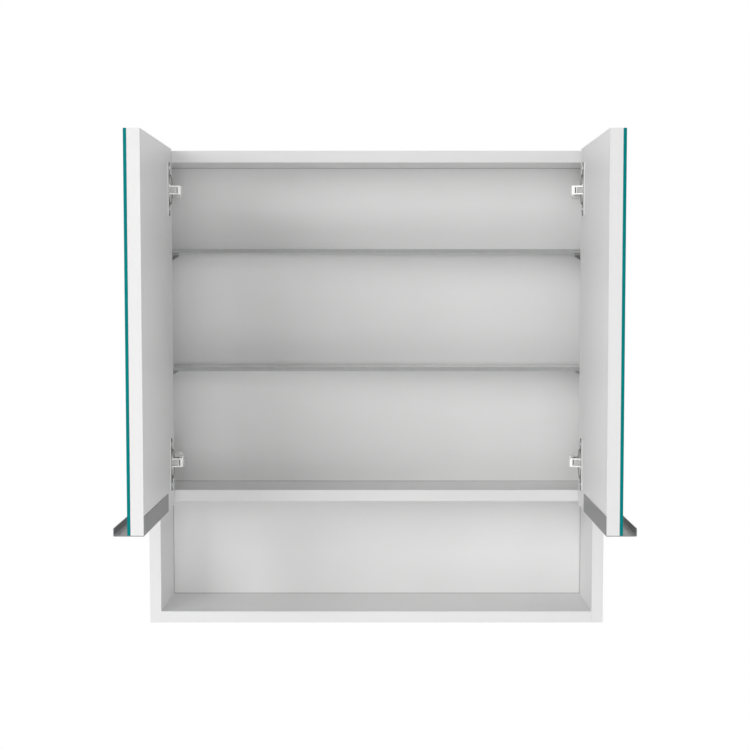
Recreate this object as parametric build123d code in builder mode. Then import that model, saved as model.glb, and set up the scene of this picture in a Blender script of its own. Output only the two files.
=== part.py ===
"""A wall cabinet with two mirror doors on concealed cup hinges, glass shelves and an open bay.

Millimetres. X runs to the right, the front faces -Y and +Z is up. The wall is the plane Y = 0,
and the origin is midway between the two hanging holes. The doors are drawn open at a right angle.

Each hinge is laid out in the horizontal (u, v) plane of its own side: u is the distance from the
side panel's inner face towards the middle of the cabinet, and v the distance in front of the
cabinet's front edges. A door has its own (s, d): s is the distance from its hinge edge, and d the
depth from its inner face towards the mirror.
"""

import os
from cmath import exp, phase
from math import degrees, pi

from build123d import *

os.makedirs("parts", exist_ok=True)

# Cabinet
cabinet_width = 600
cabinet_height = 620
cabinet_depth = 150
board = 15
edge_radius = 0.5
middle_drop = 443
hang_drop = 45

# Back panels, each in a groove of the boards around it
back_thickness = 3
upper_back_setback = 107
lower_back_setback = 141
groove_depth = 6
groove_play = 0.1
groove_end_gap = 0.5

# Dowels, cam bolts and cam housings between the boards
dowel_radius = 4
dowel_in_side = 9.5
dowel_in_panel = 20
dowel_setbacks = (25, 125)
cam_setbacks = (52, 90)
cam_radius = 7.4
cam_height = 12
cam_inset = 24
cam_bolt_radius = 3
cam_bolt_end_gap = 1
cam_thread_radius = 2.5
cam_thread = 9
drill_play = 0.1

# Wall hangers
hanger_sheet = 2
hanger_width = 32
hanger_depth = 36
hanger_height = 50
hanger_corner = 4
hanger_hole_inset = 15
hanger_hole_radius = 4
hanger_screw_spacing = 28

# Glass shelves and their supports
shelf_thickness = 5
shelf_depth = 96
shelf_setback = 8
shelf_end_play = 1.5
shelf_drops = (127.2, 281.6)
shelf_arris = 0.6
support_reach = 17
support_width = 10
support_height = 9
support_heel = 6
support_plate = 1.5
support_web = 2
support_tip = 2
support_pin_radius = 2.5
support_pin_length = 8
support_inset = 18
pad_thickness = 0.8
pad_length = 10
pad_width = 8
pad_corner = 2
pad_inset = 1
row_pitch = 32

# Doors
door_height = 464
door_rise = 2
door_reveal = 1
door_gap = 3
door_clearance = 2
mirror_thickness = 4
mirror_arris = 0.8
door_open_inset = 19.3
door_open_lead = 6

# Handles, bent from sheet
handle_sheet = 1
handle_length = 227
handle_leg = 22
handle_reach = 16
handle_lip = 9.5
handle_bend = 0.5
handle_screw_count = 3

# Hinges: the door turns a quarter turn about pivots that the links carry
hinge_top_drop = 51.5
hinge_spacing = 354
outer_arm_pivot = 26.2 - 7.8j
outer_elbow = 16.2 + 10.9j
outer_ratio = -0.465
inner_arm_pivot = 21.2 - 16.4j
inner_elbow = 1.9 + 11.3j
inner_ratio = -0.48
link_sheet = 1.6
link_eye_radius = 2
outer_link_half = 5.6
outer_cheek = 1.6
bridge_share = 0.3
bridge_turn_share = 0.17
inner_link_half = 3.5
link_side_play = 0.3
hinge_pin_radius = 1
pin_play = 0.05

# Hinge cup
cup_radius = 17.5
cup_depth = 12
cup_wall = 0.6
cup_floor = 1
cup_flange = 1.5
cup_flange_length = 68
cup_flange_width = 13
cup_flange_rim = 1.9
cup_flange_corner = 2
cup_screw_spacing = 52
cup_ear = 2
cup_ear_start = 6
cup_ear_width = 9.5
cup_ear_height = 8
cup_ear_inset = 10.46

# Hinge arm and mounting plate
arm_sheet = 1.1
arm_half = 6.9
arm_nose_top = 30
arm_nose_front = 5
arm_nose_back = 19
arm_nose_bottom = 14
arm_top = 22
arm_bottom = 12
arm_back = 76
arm_slope = 10
arm_bend = 1
cut_overrun = 1
plate_base = 2
plate_front = 26
plate_back = 72
plate_rail_half = 5
plate_wing_half = 23
plate_wing_width = 15
plate_wing_corner = 4
plate_row = 37
plate_screw_spacing = 32
arm_screw_rows = (36, 62)

# Screws
screw_radius = 2
screw_head_radius = 3.6
screw_head = 1.8
screw_depth = 11

# Places worked out from the sizes above
top_z = hang_drop
bottom_z = top_z - cabinet_height
front_y = -cabinet_depth
side_x = cabinet_width / 2 - board
middle_z = top_z - middle_drop
door_width = (cabinet_width - 2 * door_reveal - door_gap) / 2
door_top_z = top_z + door_rise
door_bottom_z = door_top_z - door_height
door_thickness = board + mirror_thickness
door_overlay = board - door_reveal
hinge_heights = {"upper": top_z - hinge_top_drop, "lower": top_z - hinge_top_drop - hinge_spacing}
panel_heights = {"top": top_z - board / 2, "middle": middle_z - board / 2, "bottom": bottom_z + board / 2}
shelf_heights = [top_z - drop - shelf_thickness / 2 for drop in shelf_drops]
groove_width = back_thickness + 2 * groove_play
sides = {"left": -1, "right": 1}
mirrored = (-1, 1)


def cup_pivot(arm_pivot, ratio):
    """Place, with the door shut, of the cup pivot that brings the door to its open place."""
    shut_corner = complex(-door_overlay, door_clearance)
    open_corner = complex(door_open_inset, door_open_lead)
    link_turn = exp(1j * ratio * pi / 2)
    door_turn = exp(1j * pi / 2)
    held = open_corner - arm_pivot + link_turn * arm_pivot - door_turn * shut_corner
    return held / (link_turn - door_turn)


def opened(point, arm_pivot, ratio):
    """A link's point once the link has turned with the door to its open place."""
    return arm_pivot + exp(1j * ratio * pi / 2) * (point - arm_pivot)


def in_door(point):
    """(s, d) in the door of a point given in (u, v) with the door shut."""
    return point.real + door_overlay, point.imag - door_clearance


outer_cup_pivot = cup_pivot(outer_arm_pivot, outer_ratio)
inner_cup_pivot = cup_pivot(inner_arm_pivot, inner_ratio)
outer_open = [opened(point, outer_arm_pivot, outer_ratio) for point in (outer_elbow, outer_cup_pivot)]
inner_open = [opened(point, inner_arm_pivot, inner_ratio) for point in (inner_elbow, inner_cup_pivot)]
cup_pins_at = [in_door(pivot) for pivot in (outer_cup_pivot, inner_cup_pivot)]
ear_s = (cup_pins_at[0][0] + cup_pins_at[1][0]) / 2
cup_setback = ear_s + cup_ear_inset
cup_screw_offset = cup_radius + cup_flange_rim - cup_flange_width / 2


def hinge_plane(side, z):
    """Horizontal plane with u and v as its x and y."""
    return Plane(origin=(side * side_x, front_y, z), x_dir=(-side, 0, 0), z_dir=(0, 0, side))


def door_plane(side, z):
    """Horizontal plane with a door's s and d as its x and y."""
    corner = (side * (side_x - door_open_inset), front_y - door_open_lead, z)
    return Plane(origin=corner, x_dir=(0, -1, 0), z_dir=(0, 0, side))


def door_face(side, s, z, d=0):
    """Plane on a door's inner face, or d behind it, that looks into the door."""
    corner = (side * (side_x - door_open_inset + d), front_y - door_open_lead - s, z)
    return Plane(origin=corner, x_dir=(0, -1, 0), z_dir=(side, 0, 0))


def door_section(side, s):
    """Upright plane across a door, with d as its x and the height as its y."""
    corner = (side * (side_x - door_open_inset), front_y - door_open_lead - s, 0)
    return Plane(origin=corner, x_dir=(side, 0, 0), z_dir=(0, -side, 0))


def side_face(side, setback, z, u=0):
    """Plane on a side panel's inner face, or u off it, that looks into the panel."""
    return Plane(origin=(side * (side_x - u), front_y + setback, z), x_dir=(0, 1, 0), z_dir=(side, 0, 0))


def leg(start, end, width):
    """One straight round-ended stretch of a link, drawn in the current sketch."""
    middle = (start + end) / 2
    with Locations((middle.real, middle.imag)):
        SlotCenterToCenter(abs(end - start), width, rotation=degrees(phase(end - start)))


def drill(plane, radius, depth):
    """Blind round hole in the current part."""
    with BuildSketch(plane) as outline:
        Circle(radius)
    extrude(outline.sketch, amount=depth, mode=Mode.SUBTRACT)


def rod(plane, radius, length):
    """Round bar added to the current part."""
    with BuildSketch(plane) as outline:
        Circle(radius)
    extrude(outline.sketch, amount=length)


def screw(plane, head_plane):
    """Pan-head screw added to the current part: shank along plane's normal, head behind it."""
    rod(plane, screw_radius, screw_depth)
    rod(head_plane, screw_head_radius, screw_head)


def save(part, name):
    part.label = name
    export_step(part, f"parts/{name}.step")


# ---- Side panels -------------------------------------------------------------------------------
# White boards over the full height, with grooves for the backs and holes for what is fixed to them.

support_setbacks = (shelf_setback + support_inset, shelf_setback + shelf_depth - support_inset)
support_heights = [z - shelf_thickness / 2 - pad_thickness for z in shelf_heights]
pin_drop = support_plate + support_pin_radius

for side_name, side in sides.items():
    with BuildPart() as side_panel:
        with BuildSketch(Plane.XY.offset(bottom_z)):
            with Locations((side * (side_x + board / 2), front_y / 2)):
                Rectangle(board, cabinet_depth)
        extrude(amount=cabinet_height)
        fillet(side_panel.edges().filter_by(Axis.Z).group_by(Axis.Y)[0], edge_radius)
        groove_x = side * (side_x + groove_depth / 2)
        upper_groove_y = front_y + upper_back_setback + back_thickness / 2
        lower_groove_y = front_y + lower_back_setback + back_thickness / 2
        with BuildSketch(Plane.XY.offset(middle_z - groove_depth)):
            with Locations((groove_x, upper_groove_y)):
                Rectangle(groove_depth, groove_width)
        upper_groove_height = top_z - board - middle_z + 2 * groove_depth
        extrude(amount=upper_groove_height, mode=Mode.SUBTRACT)
        with BuildSketch(Plane.XY.offset(bottom_z + board - groove_depth)):
            with Locations((groove_x, lower_groove_y)):
                Rectangle(groove_depth, groove_width)
        lower_groove_height = middle_z - board - bottom_z - board + 2 * groove_depth
        extrude(amount=lower_groove_height, mode=Mode.SUBTRACT)
        for z in panel_heights.values():
            for setback in dowel_setbacks:
                drill(side_face(side, setback, z), dowel_radius + drill_play, dowel_in_side + drill_play)
            for setback in cam_setbacks:
                drill(side_face(side, setback, z), cam_thread_radius + drill_play, cam_thread + drill_play)
        for z in support_heights:
            for step in (-1, 0, 1):
                for setback in support_setbacks:
                    hole = side_face(side, setback, z - pin_drop + step * row_pitch)
                    drill(hole, support_pin_radius + drill_play, support_pin_length + drill_play)
        for z in hinge_heights.values():
            for offset in mirrored:
                hole = side_face(side, plate_row, z + offset * plate_screw_spacing / 2)
                drill(hole, screw_radius + drill_play, screw_depth - plate_base + drill_play)
        for offset in mirrored:
            hole = side_face(side, cabinet_depth - hanger_depth / 2, offset * hanger_screw_spacing / 2)
            drill(hole, screw_radius + drill_play, screw_depth - hanger_sheet + drill_play)
    save(side_panel.part, f"side_panel_{side_name}")

# ---- Top, middle and bottom panels --------------------------------------------------------------
# Boards between the sides. Each end has two dowels and two cam bolts; the cams are let into the
# face that is out of sight from the front. The backs stand in grooves of the faces that look into
# the cabinet.

cam_faces = {"top": 1, "middle": -1, "bottom": -1}
grooves = {
    "top": [(-1, upper_back_setback)],
    "middle": [(1, upper_back_setback), (-1, lower_back_setback)],
    "bottom": [(1, lower_back_setback)],
}

for panel_name, panel_z in panel_heights.items():
    cam_face = cam_faces[panel_name]
    with BuildPart() as panel:
        with BuildSketch(Plane.XY.offset(panel_z - board / 2)):
            with Locations((0, front_y / 2)):
                Rectangle(2 * side_x, cabinet_depth)
        extrude(amount=board)
        fillet(panel.edges().filter_by(Axis.X).group_by(Axis.Y)[0], edge_radius)
        for face, setback in grooves[panel_name]:
            with BuildSketch(Plane.XY.offset(panel_z + face * (board - groove_depth) / 2)):
                with Locations((0, front_y + setback + back_thickness / 2)):
                    Rectangle(2 * side_x, groove_width)
            extrude(amount=groove_depth / 2, both=True, mode=Mode.SUBTRACT)
        for side in mirrored:
            for setback in dowel_setbacks:
                end = Plane(origin=(side * side_x, front_y + setback, panel_z), z_dir=(-side, 0, 0))
                drill(end, dowel_radius + drill_play, dowel_in_panel + drill_play)
            for setback in cam_setbacks:
                end = Plane(origin=(side * side_x, front_y + setback, panel_z), z_dir=(-side, 0, 0))
                drill(end, cam_bolt_radius + drill_play, cam_inset)
                mouth = (side * (side_x - cam_inset), front_y + setback, panel_z + cam_face * board / 2)
                drill(Plane(origin=mouth, z_dir=(0, 0, -cam_face)), cam_radius + drill_play, cam_height)
    save(panel.part, f"{panel_name}_panel")

# ---- Back panels --------------------------------------------------------------------------------
# Thin white boards. The upper one stands further forward and leaves room behind it for the hangers.

back_width = 2 * (side_x + groove_depth - groove_end_gap)
backs = {
    "upper": (upper_back_setback, middle_z, top_z - board),
    "lower": (lower_back_setback, bottom_z + board, middle_z - board),
}

for back_name, (setback, low, high) in backs.items():
    with BuildPart() as back_panel:
        with BuildSketch(Plane.XY.offset(low - groove_depth + groove_end_gap)):
            with Locations((0, front_y + setback + back_thickness / 2)):
                Rectangle(back_width, back_thickness)
        extrude(amount=high - low + 2 * (groove_depth - groove_end_gap))
    save(back_panel.part, f"{back_name}_back_panel")

# ---- Joining hardware ---------------------------------------------------------------------------
# Dowels across each joint, and cam bolts from the sides that end in the cams of the panels.

with BuildPart() as dowels:
    for z in panel_heights.values():
        for side in mirrored:
            for setback in dowel_setbacks:
                start = side_face(side, setback, z, u=dowel_in_panel)
                rod(start, dowel_radius, dowel_in_panel + dowel_in_side)
save(dowels.part, "dowels")

cam_bolt_length = cam_inset - cam_bolt_end_gap

with BuildPart() as cam_bolts:
    for z in panel_heights.values():
        for side in mirrored:
            for setback in cam_setbacks:
                rod(side_face(side, setback, z, u=cam_bolt_length), cam_bolt_radius, cam_bolt_length)
                rod(side_face(side, setback, z), cam_thread_radius, cam_thread)
save(cam_bolts.part, "cam_bolts")

with BuildPart() as cam_housings:
    for panel_name, z in panel_heights.items():
        cam_face = cam_faces[panel_name]
        for side in mirrored:
            for setback in cam_setbacks:
                mouth = (side * (side_x - cam_inset), front_y + setback, z + cam_face * board / 2)
                rod(Plane(origin=mouth, z_dir=(0, 0, -cam_face)), cam_radius, cam_height - drill_play)
                bore = side_face(side, setback, z, u=cam_inset)
                drill(bore, cam_bolt_radius + drill_play, cam_radius + drill_play)
save(cam_housings.part, "cam_housings")

# ---- Wall hangers -------------------------------------------------------------------------------
# Steel angles in the recess behind the upper back: one leg on the side panel, one on the wall.

for side_name, side in sides.items():
    with BuildPart() as hanger:
        with BuildSketch(Plane.XY.offset(-hanger_height / 2)):
            with Locations((side * (side_x - hanger_sheet / 2), -hanger_depth / 2)):
                Rectangle(hanger_sheet, hanger_depth)
            with Locations((side * (side_x - hanger_width / 2), -hanger_sheet / 2)):
                Rectangle(hanger_width, hanger_sheet)
        extrude(amount=hanger_height)
        free_corners = hanger.edges().filter_by(Axis.Y).group_by(SortBy.LENGTH)[0]
        fillet(free_corners.sort_by(Axis.X, reverse=side > 0)[-2:], hanger_corner)
        with BuildSketch(Plane(origin=(side * (side_x - hanger_hole_inset), 0, 0), z_dir=(0, -1, 0))):
            Circle(hanger_hole_radius)
        extrude(amount=hanger_sheet, mode=Mode.SUBTRACT)
        for offset in mirrored:
            hole_z = offset * hanger_screw_spacing / 2
            hole = side_face(side, cabinet_depth - hanger_depth / 2, hole_z, u=hanger_sheet)
            drill(hole, screw_radius + drill_play, hanger_sheet)
    save(hanger.part, f"wall_hanger_{side_name}")

with BuildPart() as hanger_screws:
    for side in mirrored:
        for offset in mirrored:
            spot = (side, cabinet_depth - hanger_depth / 2, offset * hanger_screw_spacing / 2)
            screw(side_face(*spot, u=hanger_sheet), side_face(*spot, u=hanger_sheet + screw_head))
save(hanger_screws.part, "hanger_screws")

# ---- Shelves ------------------------------------------------------------------------------------
# Clear glass with polished edges, on metal supports with soft pads.

shelf_y = front_y + shelf_setback + shelf_depth / 2

for shelf_name, shelf_z in zip(("upper", "lower"), shelf_heights):
    with BuildPart() as shelf:
        with BuildSketch(Plane.XY.offset(shelf_z - shelf_thickness / 2)):
            with Locations((0, shelf_y)):
                Rectangle(2 * (side_x - shelf_end_play), shelf_depth)
        extrude(amount=shelf_thickness)
        chamfer(shelf.edges().filter_by(Axis.X), shelf_arris)
    save(shelf.part, f"{shelf_name}_shelf")

with BuildPart() as shelf_supports:
    for z in support_heights:
        for side in mirrored:
            for setback in support_setbacks:
                y = front_y + setback
                with BuildSketch(Plane.XY.offset(z)):
                    with Locations((side * (side_x - support_reach / 2), y)):
                        Rectangle(support_reach, support_width)
                extrude(amount=-support_plate)
                web = Plane(origin=(side * side_x, y, z), x_dir=(-side, 0, 0), z_dir=(0, side, 0))
                with BuildSketch(web):
                    with BuildLine():
                        Polyline(
                            (0, 0),
                            (support_reach, 0),
                            (support_reach, -support_tip),
                            (support_heel, -support_height),
                            (0, -support_height),
                            close=True,
                        )
                    make_face()
                extrude(amount=support_web / 2, both=True)
                rod(side_face(side, setback, z - pin_drop), support_pin_radius, support_pin_length)
save(shelf_supports.part, "shelf_supports")

with BuildPart() as shelf_pads:
    for z in support_heights:
        for side in mirrored:
            for setback in support_setbacks:
                pad_x = side * (side_x - support_reach + pad_inset + pad_length / 2)
                with BuildSketch(Plane.XY.offset(z)):
                    with Locations((pad_x, front_y + setback)):
                        RectangleRounded(pad_length, pad_width, pad_corner)
                extrude(amount=pad_thickness)
save(shelf_pads.part, "shelf_pads")

# ---- Doors --------------------------------------------------------------------------------------
# A white board with a mirror glued to its front. The board has a bore for each hinge cup.

screw_s = cup_setback + cup_screw_offset
door_middle_z = (door_top_z + door_bottom_z) / 2
handle_screw_step = handle_length / handle_screw_count
handle_screws_s = [
    door_width - handle_screw_step * (index + 0.5) for index in range(handle_screw_count)
]

for side_name, side in sides.items():
    with BuildPart() as door_board:
        with BuildSketch(door_plane(side, door_middle_z)):
            with Locations((door_width / 2, board / 2)):
                Rectangle(door_width, board)
        extrude(amount=door_height / 2, both=True)
        for z in hinge_heights.values():
            drill(door_face(side, cup_setback, z), cup_radius + drill_play, cup_depth + drill_play)
            for offset in mirrored:
                hole = door_face(side, screw_s, z + offset * cup_screw_spacing / 2)
                drill(hole, screw_radius + drill_play, screw_depth - cup_flange + drill_play)
        for s in handle_screws_s:
            spot = (side * (side_x - door_open_inset + board / 2), front_y - door_open_lead - s)
            below = Plane(origin=(*spot, door_bottom_z), z_dir=(0, 0, 1))
            drill(below, screw_radius + drill_play, screw_depth - handle_sheet + drill_play)
    save(door_board.part, f"door_board_{side_name}")

    with BuildPart() as door_mirror:
        with BuildSketch(door_plane(side, door_middle_z)):
            with Locations((door_width / 2, board + mirror_thickness / 2)):
                Rectangle(door_width, mirror_thickness)
        extrude(amount=door_height / 2, both=True)
        front_face = door_mirror.faces().sort_by(Axis.X)[-1 if side > 0 else 0]
        chamfer(front_face.edges(), mirror_arris)
    save(door_mirror.part, f"door_mirror_{side_name}")

# ---- Handles ------------------------------------------------------------------------------------
# One bent sheet under each door: a leg up the inner face, a base under the edge and a raised lip in
# front of the mirror. It starts at the free edge and stops short of the hinge edge.

lip_face = door_thickness + handle_reach
handle_low = door_bottom_z - handle_sheet

for side_name, side in sides.items():
    with BuildPart() as handle:
        with BuildSketch(door_section(side, door_width - handle_length / 2)) as profile:
            with BuildLine():
                Polyline(
                    (-handle_sheet, handle_low),
                    (lip_face, handle_low),
                    (lip_face, handle_low + handle_lip),
                    (lip_face - handle_sheet, handle_low + handle_lip),
                    (lip_face - handle_sheet, door_bottom_z),
                    (0, door_bottom_z),
                    (0, door_bottom_z + handle_leg),
                    (-handle_sheet, door_bottom_z + handle_leg),
                    close=True,
                )
            make_face()
            fillet(profile.vertices().group_by(Axis.Y)[0], handle_sheet + handle_bend)
            lip_root = (lip_face - handle_sheet, door_bottom_z, 0)
            inner_corner = profile.vertices().sort_by_distance(lip_root)[0]
            fillet(inner_corner, handle_bend)
        extrude(amount=handle_length / 2, both=True)
        for s in handle_screws_s:
            spot = (side * (side_x - door_open_inset + board / 2), front_y - door_open_lead - s)
            drill(Plane(origin=(*spot, handle_low), z_dir=(0, 0, 1)), screw_radius + drill_play, handle_sheet)
    save(handle.part, f"handle_{side_name}")

    with BuildPart() as handle_screws:
        for s in handle_screws_s:
            spot = (side * (side_x - door_open_inset + board / 2), front_y - door_open_lead - s)
            head = Plane(origin=(*spot, handle_low - screw_head), z_dir=(0, 0, 1))
            screw(Plane(origin=(*spot, handle_low), z_dir=(0, 0, 1)), head)
    save(handle_screws.part, f"handle_screws_{side_name}")

# ---- Hinge cups ---------------------------------------------------------------------------------
# A pressed cup whose flange has one straight edge across the rim. Two ears carry the link pins.

for side_name, side in sides.items():
    for level, z in hinge_heights.items():
        with BuildPart() as cup:
            with BuildSketch(door_face(side, cup_setback, z, d=-cup_flange)):
                Circle(cup_radius + cup_flange_rim)
                with Locations((cup_screw_offset, 0)):
                    RectangleRounded(cup_flange_width, cup_flange_length, cup_flange_corner)
            extrude(amount=cup_flange)
            rod(door_face(side, cup_setback, z), cup_radius, cup_depth)
            hollow = door_face(side, cup_setback, z, d=-cup_flange)
            drill(hollow, cup_radius - cup_wall, cup_flange + cup_depth - cup_floor)
            for offset in mirrored:
                hole = door_face(side, screw_s, z + offset * cup_screw_spacing / 2, d=-cup_flange)
                drill(hole, screw_radius + drill_play, cup_flange)
                ear_z = z + offset * (cup_ear_start + cup_ear / 2)
                with BuildSketch(door_plane(side, ear_z)):
                    with Locations((ear_s, cup_depth - cup_floor - cup_ear_height / 2)):
                        Rectangle(cup_ear_width, cup_ear_height)
                    with Locations(*cup_pins_at):
                        Circle(link_eye_radius)
                        Circle(hinge_pin_radius + pin_play, mode=Mode.SUBTRACT)
                extrude(amount=cup_ear / 2, both=True)
        save(cup.part, f"hinge_cup_{side_name}_{level}")

    with BuildPart() as cup_screws:
        for z in hinge_heights.values():
            for offset in mirrored:
                spot = (side, screw_s, z + offset * cup_screw_spacing / 2)
                screw(door_face(*spot, d=-cup_flange), door_face(*spot, d=-cup_flange - screw_head))
    save(cup_screws.part, f"cup_screws_{side_name}")

    with BuildPart() as cup_pins:
        pin_start = inner_link_half + link_side_play
        pin_length = cup_ear_start + cup_ear - pin_start
        for z in hinge_heights.values():
            for offset in mirrored:
                with BuildSketch(door_plane(side, z + offset * (pin_start + pin_length / 2))):
                    with Locations(*cup_pins_at):
                        Circle(hinge_pin_radius)
                extrude(amount=pin_length / 2, both=True)
    save(cup_pins.part, f"cup_pins_{side_name}")

# ---- Hinge links --------------------------------------------------------------------------------
# The outer link is two cheeks joined by a bridge that turns a little way past the elbow. The inner
# link is one bent bar between them. Both bow round the open door's edge and fold into the shut cup.

outer_elbow_open, outer_cup_open = outer_open
inner_elbow_open, inner_cup_open = inner_open
bridge_start = outer_arm_pivot + (outer_elbow_open - outer_arm_pivot) * bridge_share
bridge_end = outer_elbow_open + (outer_cup_open - outer_elbow_open) * bridge_turn_share
cheek_middle = outer_link_half - outer_cheek / 2

for side_name, side in sides.items():
    for level, z in hinge_heights.items():
        with BuildPart() as outer_link:
            for offset in mirrored:
                with BuildSketch(hinge_plane(side, z + offset * cheek_middle)):
                    leg(outer_arm_pivot, outer_elbow_open, link_sheet)
                    leg(outer_elbow_open, outer_cup_open, link_sheet)
                    for pivot in (outer_arm_pivot, outer_cup_open):
                        with Locations((pivot.real, pivot.imag)):
                            Circle(link_eye_radius)
                            Circle(hinge_pin_radius + pin_play, mode=Mode.SUBTRACT)
                extrude(amount=outer_cheek / 2, both=True)
            with BuildSketch(hinge_plane(side, z)):
                leg(bridge_start, outer_elbow_open, link_sheet)
                leg(outer_elbow_open, bridge_end, link_sheet)
            extrude(amount=outer_link_half - outer_cheek / 2, both=True)
        save(outer_link.part, f"outer_link_{side_name}_{level}")

        with BuildPart() as inner_link:
            with BuildSketch(hinge_plane(side, z)):
                leg(inner_arm_pivot, inner_elbow_open, link_sheet)
                leg(inner_elbow_open, inner_cup_open, link_sheet)
                with Locations((inner_arm_pivot.real, inner_arm_pivot.imag)):
                    Circle(link_eye_radius)
                    Circle(hinge_pin_radius + pin_play, mode=Mode.SUBTRACT)
                with Locations((inner_cup_open.real, inner_cup_open.imag)):
                    Circle(hinge_pin_radius + pin_play)
            extrude(amount=inner_link_half, both=True)
        save(inner_link.part, f"inner_link_{side_name}_{level}")

# ---- Hinge arms and mounting plates -------------------------------------------------------------
# The arm is a channel over the plate's rail. Its nose holds the two link pins.

for side_name, side in sides.items():
    for level, z in hinge_heights.items():
        with BuildPart() as arm:
            with BuildSketch(hinge_plane(side, z)):
                with BuildLine():
                    Polyline(
                        (arm_nose_bottom, -arm_nose_front),
                        (arm_nose_top, -arm_nose_front),
                        (arm_nose_top, -arm_nose_back),
                        (arm_top, -arm_nose_back - arm_slope),
                        (arm_top, -arm_back),
                        (arm_bottom, -arm_back),
                        (arm_bottom, -arm_nose_back - arm_slope / 2),
                        close=True,
                    )
                make_face()
            extrude(amount=arm_half, both=True)
            fillet(arm.edges().filter_by(Axis.Z), arm_bend)
            with BuildSketch(hinge_plane(side, z)):
                with BuildLine():
                    Polyline(
                        (0, 0),
                        (arm_nose_top - arm_sheet, 0),
                        (arm_nose_top - arm_sheet, -arm_nose_back),
                        (arm_top - arm_sheet, -arm_nose_back - arm_slope),
                        (arm_top - arm_sheet, -arm_back - cut_overrun),
                        (0, -arm_back - cut_overrun),
                        close=True,
                    )
                make_face()
            extrude(amount=arm_half - arm_sheet, both=True, mode=Mode.SUBTRACT)
            with BuildSketch(hinge_plane(side, z)):
                for pivot in (outer_arm_pivot, inner_arm_pivot):
                    with Locations((pivot.real, pivot.imag)):
                        Circle(hinge_pin_radius + pin_play)
            extrude(amount=arm_half, both=True, mode=Mode.SUBTRACT)
            for row in arm_screw_rows:
                drill(side_face(side, row, z, u=arm_top), screw_radius + drill_play, arm_sheet)
        save(arm.part, f"hinge_arm_{side_name}_{level}")

        rail_top = arm_top - arm_sheet - drill_play
        with BuildPart() as plate:
            with BuildSketch(hinge_plane(side, z)):
                with Locations((plate_base / 2, -(plate_front + plate_back) / 2)):
                    Rectangle(plate_base, plate_back - plate_front)
                with Locations((rail_top / 2, -(plate_front + plate_back) / 2)):
                    Rectangle(rail_top, plate_back - plate_front)
            extrude(amount=plate_rail_half, both=True)
            with BuildSketch(side_face(side, plate_row, z, u=plate_base)):
                RectangleRounded(plate_wing_width, 2 * plate_wing_half, plate_wing_corner)
            extrude(amount=plate_base)
            for offset in mirrored:
                hole = side_face(side, plate_row, z + offset * plate_screw_spacing / 2, u=plate_base)
                drill(hole, screw_radius + drill_play, plate_base)
            for row in arm_screw_rows:
                drill(side_face(side, row, z, u=rail_top), screw_radius + drill_play, screw_depth)
        save(plate.part, f"hinge_plate_{side_name}_{level}")

with BuildPart() as arm_pins:
    for side in mirrored:
        for z in hinge_heights.values():
            with BuildSketch(hinge_plane(side, z)):
                for pivot in (outer_arm_pivot, inner_arm_pivot):
                    with Locations((pivot.real, pivot.imag)):
                        Circle(hinge_pin_radius)
            extrude(amount=arm_half, both=True)
save(arm_pins.part, "arm_pins")

with BuildPart() as plate_screws:
    for side in mirrored:
        for z in hinge_heights.values():
            for offset in mirrored:
                spot = (side, plate_row, z + offset * plate_screw_spacing / 2)
                screw(side_face(*spot, u=plate_base), side_face(*spot, u=plate_base + screw_head))
save(plate_screws.part, "plate_screws")

with BuildPart() as arm_screws:
    for side in mirrored:
        for z in hinge_heights.values():
            for row in arm_screw_rows:
                spot = (side, row, z)
                screw(side_face(*spot, u=arm_top), side_face(*spot, u=arm_top + screw_head))
save(arm_screws.part, "arm_screws")
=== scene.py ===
"""White wall cabinet with two mirror doors, glass shelves and an open bay, in metres."""

from math import cos, pi, radians, sin

import bmesh
import bpy
from mathutils import Matrix, Vector


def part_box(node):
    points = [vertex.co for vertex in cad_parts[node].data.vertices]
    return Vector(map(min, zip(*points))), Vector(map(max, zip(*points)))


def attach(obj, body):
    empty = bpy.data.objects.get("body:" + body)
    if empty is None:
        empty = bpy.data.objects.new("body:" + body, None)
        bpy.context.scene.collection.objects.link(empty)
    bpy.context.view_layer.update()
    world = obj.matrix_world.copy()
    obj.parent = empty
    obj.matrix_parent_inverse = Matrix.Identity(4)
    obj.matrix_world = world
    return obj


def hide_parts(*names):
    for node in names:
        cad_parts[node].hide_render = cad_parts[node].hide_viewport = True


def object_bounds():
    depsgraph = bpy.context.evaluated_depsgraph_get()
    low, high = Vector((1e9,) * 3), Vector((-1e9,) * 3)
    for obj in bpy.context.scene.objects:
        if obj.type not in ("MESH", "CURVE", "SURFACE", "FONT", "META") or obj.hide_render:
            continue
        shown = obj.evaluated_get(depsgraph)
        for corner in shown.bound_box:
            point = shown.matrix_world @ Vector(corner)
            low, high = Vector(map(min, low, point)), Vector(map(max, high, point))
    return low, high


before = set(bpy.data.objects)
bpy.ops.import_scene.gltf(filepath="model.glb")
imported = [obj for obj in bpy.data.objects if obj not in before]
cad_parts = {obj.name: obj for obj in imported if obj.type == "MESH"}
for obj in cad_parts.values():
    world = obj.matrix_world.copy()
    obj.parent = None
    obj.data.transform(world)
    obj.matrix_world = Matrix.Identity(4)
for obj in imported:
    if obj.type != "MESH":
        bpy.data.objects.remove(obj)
cad_low, cad_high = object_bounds()

# ---- Carcass boards ----------------------------------------------------------------------------
# Particle board faced with white foil. The front edges carry a glued band, flush with the faces,
# whose joint shows as a hairline. Dowels and cams hold the boards together.

FOIL_WHITE = (0.845, 0.845, 0.843)
FOIL_SHADE = (0.830, 0.830, 0.829)
FOIL_ROUGHNESS = (0.36, 0.44)
FOIL_GRAIN = 2600
FOIL_RELIEF = 0.000012
BAND_THICKNESS = 0.0008
BAND_JOINT = 0.00012
JOINT_TONE = (0.62, 0.62, 0.61)
MIDDLE_HALF = (0.25, 0.75)


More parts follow.
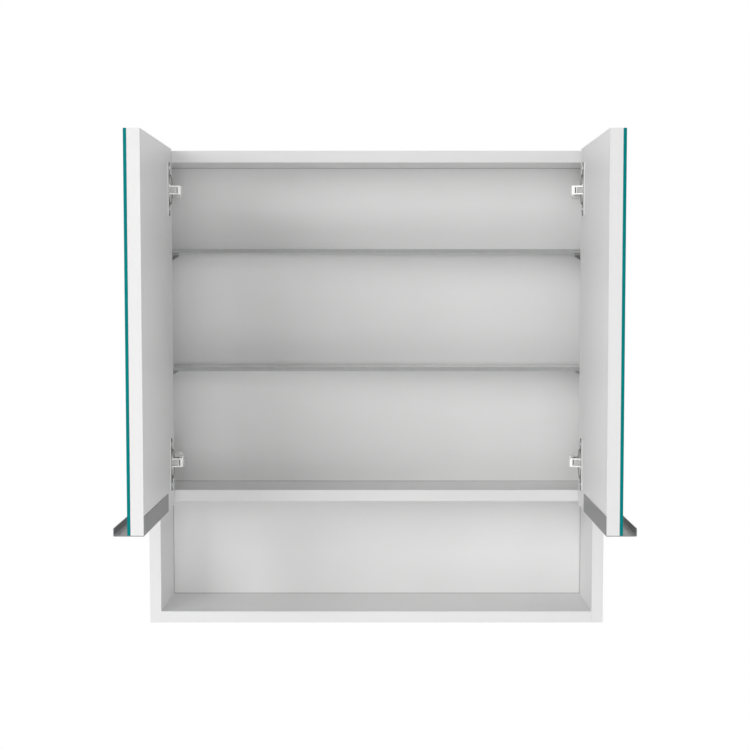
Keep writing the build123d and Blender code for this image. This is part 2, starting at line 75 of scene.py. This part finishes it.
class Finish:
    """A material whose colour, gloss and relief vary over the piece's own metres."""

    def __init__(self, name, roughness, metallic=0.0, specular=0.5):
        self.material = bpy.data.materials.new(name)
        self.material.use_nodes = True
        self.nodes = self.material.node_tree.nodes
        self.links = self.material.node_tree.links
        self.shader = self.nodes["Principled BSDF"]
        self.shader.inputs["Metallic"].default_value = metallic
        self.shader.inputs["Roughness"].default_value = roughness
        self.shader.inputs["Specular IOR Level"].default_value = specular
        self.place = self.nodes.new("ShaderNodeTexCoord").outputs["Object"]

    def join(self, source, target):
        """Links an output to an input."""
        self.links.new(source, target)

    def cloud(self, scale, stretch=(1, 1, 1), detail=3):
        """Soft noise over the piece, drawn out along an axis where stretch is below one."""
        mapping = self.nodes.new("ShaderNodeMapping")
        mapping.inputs["Scale"].default_value = stretch
        noise = self.nodes.new("ShaderNodeTexNoise")
        noise.inputs["Scale"].default_value = scale
        noise.inputs["Detail"].default_value = detail
        self.join(self.place, mapping.inputs["Vector"])
        self.join(mapping.outputs["Vector"], noise.inputs["Vector"])
        return noise.outputs["Fac"]

    def between(self, share, low, high):
        """Colour that runs from low to high as the share goes through its middle half."""
        ramp = self.nodes.new("ShaderNodeValToRGB")
        for stop, position, tone in zip(ramp.color_ramp.elements, MIDDLE_HALF, (low, high)):
            stop.position = position
            stop.color = (*tone, 1)
        self.join(share, ramp.inputs["Fac"])
        return ramp.outputs["Color"]

    def colour(self, value):
        """Base colour of the shader."""
        self.join(value, self.shader.inputs["Base Color"])

    def gloss(self, share, low, high):
        """Roughness that runs from low to high as the share goes through its middle half."""
        spread = self.nodes.new("ShaderNodeMapRange")
        spread.inputs["From Min"].default_value = MIDDLE_HALF[0]
        spread.inputs["From Max"].default_value = MIDDLE_HALF[1]
        spread.inputs["To Min"].default_value = low
        spread.inputs["To Max"].default_value = high
        self.join(share, spread.inputs["Value"])
        self.join(spread.outputs["Result"], self.shader.inputs["Roughness"])

    def relief(self, share, depth):
        """Fine unevenness of the surface, in metres."""
        bump = self.nodes.new("ShaderNodeBump")
        bump.inputs["Strength"].default_value = 1
        bump.inputs["Distance"].default_value = depth
        self.join(share, bump.inputs["Height"])
        self.join(bump.outputs["Normal"], self.shader.inputs["Normal"])

    def hairlines(self, colour, axis, places, width, tone):
        """The colour with a thin line of another tone where the axis passes each place."""
        split = self.nodes.new("ShaderNodeSeparateXYZ")
        self.join(self.place, split.inputs["Vector"])
        for place in places:
            near = self.nodes.new("ShaderNodeMath")
            near.operation = "COMPARE"
            near.inputs[1].default_value = place
            near.inputs[2].default_value = width / 2
            self.join(split.outputs[axis], near.inputs[0])
            mix = self.nodes.new("ShaderNodeMix")
            mix.data_type = "RGBA"
            mix.inputs[7].default_value = (*tone, 1)
            self.join(near.outputs["Value"], mix.inputs["Factor"])
            self.join(colour, mix.inputs[6])
            colour = mix.outputs[2]
        return colour


def foil(name, axis, places):
    """White foil with the joints of its edge bands at some places along one axis."""
    finish = Finish(name, roughness=FOIL_ROUGHNESS[0])
    tone = finish.between(finish.cloud(scale=9), FOIL_SHADE, FOIL_WHITE)
    finish.colour(finish.hairlines(tone, axis, places, BAND_JOINT, JOINT_TONE))
    finish.gloss(finish.cloud(scale=60), *FOIL_ROUGHNESS)
    finish.relief(finish.cloud(FOIL_GRAIN, detail=2), FOIL_RELIEF)
    return finish.material


def dress(names, material):
    """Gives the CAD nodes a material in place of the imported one."""
    for name in names:
        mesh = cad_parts[name].data
        mesh.materials.clear()
        mesh.materials.append(material)


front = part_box("side_panel_left")[0].y
carcass_foil = foil("carcass_foil", "Y", [front + BAND_THICKNESS])
dress(["side_panel_left", "side_panel_right", "top_panel", "middle_panel", "bottom_panel"], carcass_foil)

# ---- Back panels -------------------------------------------------------------------------------
# Thin fibre board lacquered white, a little duller than the foil. The open bay's back is the same
# lacquer, painted lighter to stand in for the brighter light in the open bay.

LACQUER_WHITE = (0.835, 0.835, 0.832)
LACQUER_SHADE = (0.815, 0.815, 0.812)
LACQUER_ROUGHNESS = (0.46, 0.58)
LACQUER_RELIEF = 0.00002
# Painted light: the open bay's back is a lighter copy of the same lacquer.
BAY_LIT_WHITE = (0.93, 0.93, 0.928)
BAY_LIT_SHADE = (0.91, 0.91, 0.908)
BAY_ROUGHNESS = (0.40, 0.50)
GROOVE_SHADOW = 0.0018
GROOVE_SHADOW_TONE = (0.50, 0.50, 0.50)


def lacquered(name, shade, white, roughness, ceiling, ground):
    """Lacquer for one back, with painted shadow lines where its edges enter the grooves round it."""
    finish = Finish(name, roughness=roughness[0])
    tone = finish.between(finish.cloud(scale=6), shade, white)
    inner_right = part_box("side_panel_right")[0].x
    # Painted shadow: thin dark lines along the side, upper and lower grooves.
    tone = finish.hairlines(tone, "X", [-inner_right, inner_right], GROOVE_SHADOW, GROOVE_SHADOW_TONE)
    tone = finish.hairlines(tone, "Z", [ceiling, ground], GROOVE_SHADOW, GROOVE_SHADOW_TONE)
    finish.colour(tone)
    finish.gloss(finish.cloud(scale=40), *roughness)
    finish.relief(finish.cloud(scale=1400, detail=4), LACQUER_RELIEF)
    return finish.material


middle_low, middle_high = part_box("middle_panel")
upper_span = (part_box("top_panel")[0].z, middle_high.z)
bay_span = (middle_low.z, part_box("bottom_panel")[1].z)
upper_lacquer = lacquered("back_lacquer", LACQUER_SHADE, LACQUER_WHITE, LACQUER_ROUGHNESS, *upper_span)
bay_lacquer_lit = lacquered("bay_lacquer_lit", BAY_LIT_SHADE, BAY_LIT_WHITE, BAY_ROUGHNESS, *bay_span)
dress(["upper_back_panel"], upper_lacquer)
dress(["lower_back_panel"], bay_lacquer_lit)

# ---- Dowels, cam bolts and cams ----------------------------------------------------------------
# Beech dowels and zinc-plated bolts inside the joints. Each cam is a die-cast disc with a cross
# recess, let into the upper face of the top panel or the lower face of the other two.

CAM_RIM = 0.0004
CAM_SEGMENTS = 40
SHARP_ANGLE = radians(32)
CAM_CROSS_ARM = 0.00154
CAM_CROSS_SPAN = 0.0042
CAM_CROSS_DEPTH = 0.00195
CROSS_TAPER = 0.55
BEECH_DARK = (0.48, 0.32, 0.18)
BEECH_LIGHT = (0.68, 0.50, 0.32)
BEECH_RELIEF = 0.00005
ZINC_DARK = (0.52, 0.53, 0.54)
ZINC_LIGHT = (0.66, 0.67, 0.68)

beech = Finish("beech", roughness=0.6)
fibres = beech.cloud(scale=420, stretch=(0.06, 1, 1), detail=5)
beech.colour(beech.between(fibres, BEECH_DARK, BEECH_LIGHT))
beech.relief(fibres, BEECH_RELIEF)
dress(["dowels"], beech.material)

zinc = Finish("zinc", roughness=0.35, metallic=1.0)
zinc.colour(zinc.between(zinc.cloud(scale=700), ZINC_DARK, ZINC_LIGHT))
zinc.gloss(zinc.cloud(scale=260), low=0.26, high=0.42)
dress(["cam_bolts"], zinc.material)


def islands(node):
    """Lowest and highest corner of each separate solid of a CAD node."""
    work = bmesh.new()
    work.from_mesh(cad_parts[node].data)
    bmesh.ops.remove_doubles(work, verts=work.verts, dist=1e-6)
    left, boxes = set(work.verts), []
    while left:
        heap = [left.pop()]
        low, high = heap[0].co.copy(), heap[0].co.copy()
        while heap:
            vertex = heap.pop()
            low = Vector(map(min, low, vertex.co))
            high = Vector(map(max, high, vertex.co))
            for edge in vertex.link_edges:
                other = edge.other_vert(vertex)
                if other in left:
                    left.remove(other)
                    heap.append(other)
        boxes.append((low, high))
    work.free()
    return sorted(boxes, key=lambda pair: tuple(round(c, 4) for c in pair[0]))


def turned(name, outline, segments):
    """Mesh turned about Z from (radius, height) pairs, closed at both ends on the axis."""
    work = bmesh.new()
    rings = []
    for radius, height in outline:
        if radius == 0:
            rings.append([work.verts.new((0, 0, height))])
            continue
        angles = [2 * pi * step / segments for step in range(segments)]
        rings.append([work.verts.new((radius * cos(a), radius * sin(a), height)) for a in angles])
    for lower, upper in zip(rings, rings[1:]):
        for step in range(segments):
            after = (step + 1) % segments
            corners = [lower[step % len(lower)], lower[after % len(lower)]]
            corners += [upper[after % len(upper)], upper[step % len(upper)]]
            work.faces.new(list(dict.fromkeys(corners)))
    bmesh.ops.recalc_face_normals(work, faces=work.faces)
    mesh = bpy.data.meshes.new(name)
    work.to_mesh(mesh)
    work.free()
    return mesh


def cross_cut(mesh, arm, span, depth):
    """The mesh, whose top is at height zero, with a cross recess that narrows downwards."""
    work = bmesh.new()
    for across in (Vector((1, 0, 0)), Vector((0, 1, 0))):
        along = Vector((-across.y, across.x, 0))
        rows = []
        for height, share in ((depth, 1), (-depth, CROSS_TAPER)):
            corners = ((1, 1), (-1, 1), (-1, -1), (1, -1))
            reach, half = span * share, arm / 2 * share
            points = [across * a * half + along * b * reach for a, b in corners]
            rows.append([work.verts.new((p.x, p.y, height)) for p in points])
        work.faces.new(rows[0])
        work.faces.new(rows[1][::-1])
        for step in range(4):
            after = (step + 1) % 4
            work.faces.new([rows[0][step], rows[0][after], rows[1][after], rows[1][step]])
    bmesh.ops.recalc_face_normals(work, faces=work.faces)
    cutter_mesh = bpy.data.meshes.new("cutter")
    work.to_mesh(cutter_mesh)
    work.free()
    blank = bpy.data.objects.new("blank", mesh)
    cutter = bpy.data.objects.new("cutter", cutter_mesh)
    for piece in (blank, cutter):
        bpy.context.scene.collection.objects.link(piece)
    cut = blank.modifiers.new("cross", "BOOLEAN")
    cut.object = cutter
    cut.operation = "DIFFERENCE"
    cut.solver = "EXACT"
    cut.use_self = True
    bpy.context.view_layer.update()
    made = bpy.data.meshes.new_from_object(blank.evaluated_get(bpy.context.evaluated_depsgraph_get()))
    for piece in (blank, cutter):
        bpy.data.objects.remove(piece)
    return made


def set_out(name, mesh, places, material, body, node):
    """One piece made of a copy of the mesh at each place, shown for a CAD node."""
    work = bmesh.new()
    for place in places:
        copy = mesh.copy()
        copy.transform(place)
        work.from_mesh(copy)
    joined = bpy.data.meshes.new(name)
    work.to_mesh(joined)
    work.free()
    joined.shade_smooth()
    joined.set_sharp_from_angle(angle=SHARP_ANGLE)
    joined.materials.append(material)
    piece = bpy.data.objects.new(name, joined)
    bpy.context.scene.collection.objects.link(piece)
    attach(piece, body)
    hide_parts(node)


def standing(point, direction):
    """Placement at a point with +Z turned to a direction."""
    turn = Vector(direction).to_track_quat("Z", "Y").to_matrix().to_4x4()
    return Matrix.Translation(point) @ turn


cam_boxes = islands("cam_housings")
cam_radius = (cam_boxes[0][1].x - cam_boxes[0][0].x) / 2
cam_height = cam_boxes[0][1].z - cam_boxes[0][0].z
cam_outline = [
    (0, -cam_height),
    (cam_radius, -cam_height),
    (cam_radius, -CAM_RIM),
    (cam_radius - CAM_RIM, 0),
    (0, 0),
]
cam_disc = turned("cam", cam_outline, CAM_SEGMENTS)
cam = cross_cut(cam_disc, CAM_CROSS_ARM, CAM_CROSS_SPAN, CAM_CROSS_DEPTH)
cam_places = []
for low, high in cam_boxes:
    middle = (low + high) / 2
    upward = high.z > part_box("top_panel")[1].z - CAM_RIM
    face = Vector((middle.x, middle.y, high.z if upward else low.z))
    cam_places.append(standing(face, (0, 0, 1 if upward else -1)))
set_out("cams", cam, cam_places, zinc.material, "cabinet", "cam_housings")

# ---- Screws ------------------------------------------------------------------------------------
# Zinc-plated steel with pan heads and a cross recess, and plain rings for the thread. They hold
# the hangers, the hinge plates, arms and cups, and the handles.

HEAD_RADIUS = 0.0036
HEAD_HEIGHT = 0.0018
SHANK_RADIUS = 0.0020
THREAD_DEPTH = 0.0003
THREAD_PITCH = 0.0012
SCREW_SEGMENTS = 28
CROSS_ARM = 0.0011
CROSS_SPAN = 0.0019
CROSS_DEPTH = 0.0013
HEAD_STEPS = 6
HEAD_FLAT = 0.55
HEAD_SKIRT = 0.62


def pan_screw(length):
    """Pan-head screw whose head's top is at the origin and whose tip points down."""
    outline = [(0, -length), (SHANK_RADIUS * 0.5, -length)]
    turns = int((length - HEAD_HEIGHT) / THREAD_PITCH)
    for turn in range(turns):
        height = -length + (turn + 0.5) * THREAD_PITCH
        outline.append((SHANK_RADIUS - THREAD_DEPTH, height))
        outline.append((SHANK_RADIUS, height + THREAD_PITCH / 2))
    outline.append((SHANK_RADIUS, -HEAD_HEIGHT))
    outline.append((HEAD_RADIUS, -HEAD_HEIGHT))
    for step in range(HEAD_STEPS):
        lean = step / HEAD_STEPS * pi / 2
        edge = HEAD_RADIUS * (HEAD_FLAT + (1 - HEAD_FLAT) * cos(lean))
        outline.append((edge, -HEAD_HEIGHT * HEAD_SKIRT * (1 - sin(lean))))
    outline.append((HEAD_RADIUS / 2, 0))
    outline.append((0, 0))
    return cross_cut(turned("screw", outline, SCREW_SEGMENTS), CROSS_ARM, CROSS_SPAN, CROSS_DEPTH)


def fit_screws(node, body, upright=False):
    """Replaces each screw of a CAD node. Tips point outwards, or up where the screws are upright."""
    places = []
    for low, high in islands(node):
        middle = (low + high) / 2
        outward = 1 if middle.x > 0 else -1
        if upright:
            length = high.z - low.z
            head, back = Vector((middle.x, middle.y, low.z)), (0, 0, -1)
        else:
            length = high.x - low.x
            head = Vector((low.x if outward > 0 else high.x, middle.y, middle.z))
            back = (-outward, 0, 0)
        places.append(standing(head, back))
    set_out(f"{node}_turned", pan_screw(length), places, zinc.material, body, node)


fit_screws("hanger_screws", "cabinet")
fit_screws("plate_screws", "cabinet")
fit_screws("arm_screws", "cabinet")
for side in ("left", "right"):
    fit_screws(f"cup_screws_{side}", f"door_{side}")
    fit_screws(f"handle_screws_{side}", f"door_{side}", upright=True)

# ---- Wall hangers ------------------------------------------------------------------------------
# Zinc-plated steel angles behind the upper back, screwed to the sides, hung on two wall hooks.

dress(["wall_hanger_left", "wall_hanger_right"], zinc.material)

# ---- Shelves -----------------------------------------------------------------------------------
# Clear toughened glass with ground edges and a small bevel all round. Each lies loose on four
# supports.

SHELF_ARRIS = 0.0006
FLAT_FACE = 0.99
GLASS_INDEX = 1.5
GLASS_TINT = (0.955, 0.965, 0.962)
GLASS_CLEAR = (0.97, 0.975, 0.973)
GROUND_DARK = (0.36, 0.365, 0.363)
GROUND_LIGHT = (0.42, 0.425, 0.423)

glass = Finish("shelf_glass", roughness=0.02)
glass.shader.inputs["Transmission Weight"].default_value = 1.0
glass.shader.inputs["IOR"].default_value = GLASS_INDEX
glass.colour(glass.between(glass.cloud(scale=14), GLASS_TINT, GLASS_CLEAR))
glass.gloss(glass.cloud(scale=90), low=0.01, high=0.03)

ground_edge = Finish("shelf_edge", roughness=0.45, specular=0.3)
ground_edge.colour(ground_edge.between(ground_edge.cloud(scale=120), GROUND_DARK, GROUND_LIGHT))
ground_edge.gloss(ground_edge.cloud(scale=500), low=0.38, high=0.52)


def slab(name, low, high, arris, thin_axis):
    """Glass slab with all its edges bevelled. Its first material goes on the two faces across the
    thin axis (0 for X, 2 for Z), and its second on the edges round them."""
    work = bmesh.new()
    bmesh.ops.create_cube(work, size=1)
    size, middle = high - low, (high + low) / 2
    for vertex in work.verts:
        vertex.co = Vector(c * s for c, s in zip(vertex.co, size)) + middle
    bmesh.ops.bevel(work, geom=work.edges, offset=arris, segments=2, affect="EDGES", profile=0.6)
    for face in work.faces:
        face.material_index = 0 if abs(face.normal[thin_axis]) > FLAT_FACE else 1
    mesh = bpy.data.meshes.new(name)
    work.to_mesh(mesh)
    work.free()
    return mesh


def place_slab(name, mesh, materials, body, node):
    """Shows the slab, with one material for its faces and one for its edges, for a CAD node."""
    for material in materials:
        mesh.materials.append(material)
    piece = bpy.data.objects.new(name, mesh)
    bpy.context.scene.collection.objects.link(piece)
    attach(piece, body)
    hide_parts(node)


shelf_materials = (glass.material, ground_edge.material)
for level in ("upper", "lower"):
    node = f"{level}_shelf"
    mesh = slab(f"glass_{level}", *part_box(node), SHELF_ARRIS, thin_axis=2)
    place_slab(f"glass_{level}", mesh, shelf_materials, "cabinet", node)

# ---- Shelf supports ----------------------------------------------------------------------------
# Cast metal pegs with a web below the plate, darkened nickel, pushed into holes in the side
# panels. Each has a soft pale pad under the glass.

SUPPORT_DARK = (0.34, 0.34, 0.34)
SUPPORT_LIGHT = (0.44, 0.44, 0.44)
PAD_DARK = (0.72, 0.72, 0.70)
PAD_LIGHT = (0.80, 0.80, 0.78)

dark_nickel = Finish("dark_nickel", roughness=0.35, metallic=1.0)
dark_nickel.colour(dark_nickel.between(dark_nickel.cloud(scale=500), SUPPORT_DARK, SUPPORT_LIGHT))
dark_nickel.gloss(dark_nickel.cloud(scale=300), low=0.28, high=0.42)
dress(["shelf_supports"], dark_nickel.material)

pad = Finish("pad", roughness=0.4)
pad.colour(pad.between(pad.cloud(scale=200), PAD_DARK, PAD_LIGHT))
pad.gloss(pad.cloud(scale=400), low=0.35, high=0.5)
dress(["shelf_pads"], pad.material)

# ---- Door boards -------------------------------------------------------------------------------
# Particle board with the same foil as the carcass, its edge bands glued on with a hairline joint
# at each face.

for side in ("left", "right"):
    low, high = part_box(f"door_board_{side}")
    joints = [low.y + BAND_THICKNESS, high.y - BAND_THICKNESS]
    dress([f"door_board_{side}"], foil(f"door_foil_{side}", "Y", joints))

# ---- Mirrors -----------------------------------------------------------------------------------
# Silvered glass, glued to the front of the door board, with a small bevel all round. The glass is
# green, which shows only at the edges.

MIRROR_ARRIS = 0.0005
SILVER_SHADE = (0.84, 0.865, 0.86)
SILVER = (0.86, 0.88, 0.875)
GLASS_EDGE_DEEP = (0.0, 0.205, 0.207)
GLASS_EDGE = (0.0, 0.225, 0.227)

silver = Finish("mirror_silver", roughness=0.02, metallic=1.0)
silver.colour(silver.between(silver.cloud(scale=5), SILVER_SHADE, SILVER))
silver.gloss(silver.cloud(scale=30), low=0.012, high=0.03)

edge_glass = Finish("mirror_edge", roughness=0.25, specular=0.08)
edge_glass.colour(edge_glass.between(edge_glass.cloud(scale=50), GLASS_EDGE_DEEP, GLASS_EDGE))
edge_glass.gloss(edge_glass.cloud(scale=300), low=0.18, high=0.32)

mirror_materials = (silver.material, edge_glass.material)
for side in ("left", "right"):
    node = f"door_mirror_{side}"
    mesh = slab(f"mirror_{side}", *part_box(node), MIRROR_ARRIS, thin_axis=0)
    place_slab(f"mirror_{side}", mesh, mirror_materials, f"door_{side}", node)

# ---- Handles -----------------------------------------------------------------------------------
# Bent aluminium sheet, brushed along its length and anodised grey, screwed to the door's lower
# edge.

BRUSH_STRETCH = (1, 0.02, 1)
BRUSH_RELIEF = 0.000015
HANDLE_DARK = (0.26, 0.26, 0.265)
HANDLE_LIGHT = (0.33, 0.33, 0.335)

brushed = Finish("handle_sheet", roughness=0.4, metallic=1.0)
strokes = brushed.cloud(scale=900, stretch=BRUSH_STRETCH, detail=4)
brushed.colour(brushed.between(strokes, HANDLE_DARK, HANDLE_LIGHT))
brushed.gloss(strokes, low=0.34, high=0.46)
brushed.relief(strokes, BRUSH_RELIEF)
dress(["handle_left", "handle_right"], brushed.material)

# ---- Hinges ------------------------------------------------------------------------------------
# Pressed steel, nickel plated: arm and plate on the side panel, and two links on riveted pins to
# the cup in the door. The flange's face has painted shade, darker than its cut edge.

NICKEL_DARK = (0.87, 0.87, 0.86)
NICKEL_LIGHT = (0.95, 0.95, 0.94)
NICKEL_RELIEF = 0.000008
CUP_DARK = (0.84, 0.84, 0.83)
CUP_LIGHT = (0.93, 0.93, 0.92)
FLANGE_SHADE_WIDTH = 0.0005
FLANGE_SHADE_TONE = (0.20, 0.20, 0.20)

nickel = Finish("nickel", roughness=0.58, metallic=1.0)
nickel.colour(nickel.between(nickel.cloud(scale=350), NICKEL_DARK, NICKEL_LIGHT))
nickel.gloss(nickel.cloud(scale=600), low=0.54, high=0.64)
nickel.relief(nickel.cloud(scale=1800, detail=2), NICKEL_RELIEF)
dress(["arm_pins", "cup_pins_left", "cup_pins_right"], nickel.material)

for side in ("left", "right"):
    cup_low, cup_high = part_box(f"hinge_cup_{side}_upper")
    flange_face = cup_high.x if side == "left" else cup_low.x
    cup_steel = Finish(f"cup_steel_{side}", roughness=0.5, metallic=1.0)
    bright = cup_steel.between(cup_steel.cloud(scale=350), CUP_DARK, CUP_LIGHT)
    # Painted shade: the flange's face is darkened across its whole plane.
    cup_steel.colour(cup_steel.hairlines(bright, "X", [flange_face], FLANGE_SHADE_WIDTH, FLANGE_SHADE_TONE))
    cup_steel.gloss(cup_steel.cloud(scale=600), low=0.46, high=0.56)
    for level in ("upper", "lower"):
        for part in ("hinge_arm", "hinge_plate", "outer_link", "inner_link"):
            dress([f"{part}_{side}_{level}"], nickel.material)
        dress([f"hinge_cup_{side}_{level}"], cup_steel.material)

# ---- Studio ------------------------------------------------------------------------------------
# A white room with soft lights all round and a pale floor well below the cabinet. Metal and
# mirrors show only the two lights in front to the left and right. The camera stands in front, a
# little above the cabinet's middle.

ROOM_LIGHT = 0.136
ROOM_GLOSS = 0.85
LIT_POINT = (0, -0.1, -0.26)
FLOOR_DROP = 1.1
FLOOR_HALF = 3.2
FLOOR_SHADE = (0.93, 0.93, 0.93)
FLOOR_WHITE = (0.95, 0.95, 0.95)
FOCAL_LENGTH = 84.9
FRAME_WIDTH = 36
FRAME_SHIFT = (-0.0138, 0.0684)
CAMERA_SPOT = (0.0118, -2.469, -0.1376)
CAMERA_TILT = radians(85.65)

world = bpy.data.worlds.new("studio")
bpy.context.scene.world = world
world.use_nodes = True
room = world.node_tree
rays = room.nodes.new("ShaderNodeLightPath")
room_light = room.nodes["Background"].outputs["Background"]
room.nodes["Background"].inputs["Color"].default_value = (1, 1, 1, 1)
room.nodes["Background"].inputs["Strength"].default_value = ROOM_LIGHT
for ray, strength in (("Is Glossy Ray", ROOM_GLOSS), ("Is Camera Ray", 1)):
    lit = room.nodes.new("ShaderNodeBackground")
    lit.inputs["Color"].default_value = (1, 1, 1, 1)
    lit.inputs["Strength"].default_value = strength
    choose = room.nodes.new("ShaderNodeMixShader")
    room.links.new(rays.outputs[ray], choose.inputs["Fac"])
    room.links.new(room_light, choose.inputs[1])
    room.links.new(lit.outputs["Background"], choose.inputs[2])
    room_light = choose.outputs["Shader"]
room.links.new(room_light, room.nodes["World Output"].inputs["Surface"])


def soft_light(name, spot, size, power, mirrored):
    """Square light turned to the cabinet's middle. Metal and mirrors show it only if mirrored."""
    lamp = bpy.data.lights.new(name, "AREA")
    lamp.size = size
    lamp.energy = power
    holder = bpy.data.objects.new(name, lamp)
    holder.location = spot
    holder.visible_glossy = mirrored
    aim = Vector(LIT_POINT) - Vector(spot)
    holder.rotation_euler = aim.to_track_quat("-Z", "Y").to_euler()
    bpy.context.scene.collection.objects.link(holder)


soft_light("key", spot=(-1.6, -2.6, 0.5), size=1.2, power=26.0, mirrored=True)
soft_light("fill", spot=(1.9, -2.4, 0.2), size=1.4, power=5.0, mirrored=True)
soft_light("low", spot=(0, -3.0, -1.3), size=1.2, power=12.9, mirrored=False)
soft_light("left", spot=(-2.8, -1.2, 0), size=1.4, power=21.8, mirrored=False)
soft_light("right", spot=(2.8, -1.2, 0), size=1.4, power=19.8, mirrored=False)
soft_light("front", spot=(0, -3.4, 0.1), size=1.2, power=16.2, mirrored=False)
soft_light("above", spot=(0, 1.6, 2.4), size=2.0, power=22.0, mirrored=False)
soft_light("behind", spot=(0, 3.0, 0.6), size=2.0, power=45.0, mirrored=False)

floor_mesh = bpy.data.meshes.new("floor")
floor_z = cad_low.z - FLOOR_DROP
floor_corners = [(-FLOOR_HALF, -FLOOR_HALF), (FLOOR_HALF, -FLOOR_HALF)]
floor_corners += [(FLOOR_HALF, FLOOR_HALF), (-FLOOR_HALF, FLOOR_HALF)]
floor_mesh.from_pydata([(x, y, floor_z) for x, y in floor_corners], [], [(0, 1, 2, 3)])
floor = bpy.data.objects.new("floor", floor_mesh)
bpy.context.scene.collection.objects.link(floor)
paint = Finish("floor_paint", roughness=0.8, specular=0.1)
paint.colour(paint.between(paint.cloud(scale=2), FLOOR_SHADE, FLOOR_WHITE))
floor_mesh.materials.append(paint.material)

bpy.context.scene.view_settings.view_transform = "Standard"

lens = bpy.data.cameras.new("camera")
lens.sensor_width = FRAME_WIDTH
lens.lens = FOCAL_LENGTH
lens.shift_x, lens.shift_y = FRAME_SHIFT
camera = bpy.data.objects.new("camera", lens)
camera.location = CAMERA_SPOT
camera.rotation_euler = (CAMERA_TILT, 0, 0)
bpy.context.scene.collection.objects.link(camera)
bpy.context.scene.camera = camera
